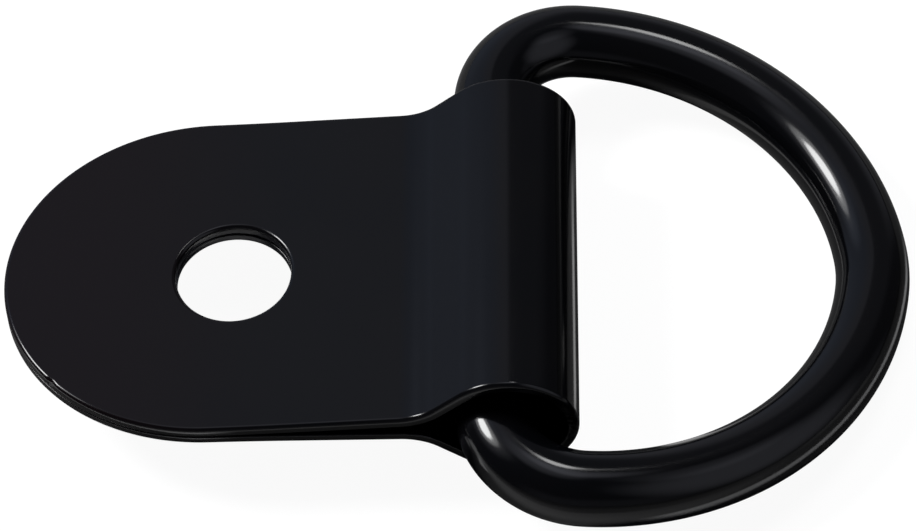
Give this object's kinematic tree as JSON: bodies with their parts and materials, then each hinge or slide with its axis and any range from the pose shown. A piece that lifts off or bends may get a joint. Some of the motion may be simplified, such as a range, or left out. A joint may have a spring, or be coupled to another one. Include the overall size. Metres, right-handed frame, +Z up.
{
  "type": "bolt on d ring tie down",
  "caption": "Tie-down anchor: a strap folded from one steel sheet, round at the tail and drilled for a bolt, whose rolled eye holds a D ring that swings.",
  "frame": {"origin": "on the strap's underside, on its centre line, 8 mm from the bolt hole's centre towards the tail", "axes": "+X from the rounded tail to the ring's eye, +Z up out of the pad's upper face, Y along the ring's bar"},
  "size_m": [0.0774, 0.0544, 0.0141],
  "materials": {
    "strap_enamel": "glossy black enamel on folded steel sheet, worn thin at the cut edges",
    "ring_enamel": "glossy black enamel on round steel bar"
  },
  "bodies": {
    "strap": {"folded_strap": "strap_enamel"},
    "ring": {"d_ring": "ring_enamel"}
  },
  "joints": [
    {"name": "ring_swing", "type": "hinge", "parent": "strap", "child": "ring", "pos_m": [0.0299, 0.0022, 0.0006], "axis": [0, -1, 0], "range_deg": [-162, 175]}
  ]
}
